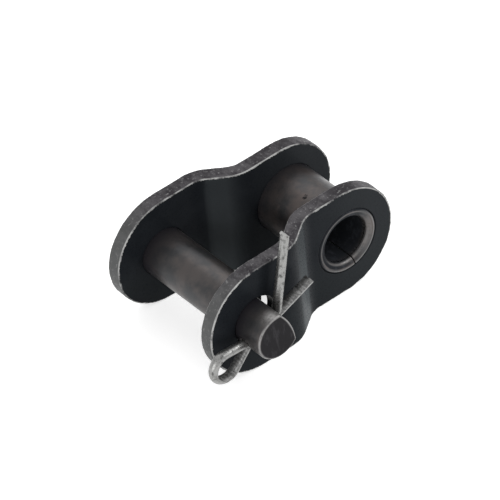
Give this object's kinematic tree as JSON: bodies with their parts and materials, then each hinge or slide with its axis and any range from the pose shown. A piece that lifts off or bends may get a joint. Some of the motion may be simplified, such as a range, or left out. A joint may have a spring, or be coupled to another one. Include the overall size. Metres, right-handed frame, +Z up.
{
  "type": "offset link",
  "caption": "Cranked offset link for a bush chain: bent side plates joined by a curled bush at the narrow end and, at the wide end, a link pin kept by a split cotter pin.",
  "frame": {"origin": "middle of the bush's bore", "axes": "+X from the link pin to the bush, +Y along the bush's bore towards the riveted side, +Z up from the lower flanks of the plates that the link rests on"},
  "size_m": [0.0184, 0.0137, 0.011],
  "materials": {
    "plate_steel": "black oxide, oiled, edges worn",
    "bush_steel": "hardened, heat tinted, satin",
    "pin_steel": "hardened, heat tinted, satin",
    "cotter_wire": "bright drawn wire, scuffed"
  },
  "bodies": {
    "root": {"cotter_side_plate": "plate_steel", "head_side_plate": "plate_steel", "bush": "bush_steel", "link_pin": "pin_steel", "cotter_pin": "cotter_wire"}
  },
  "joints": []
}
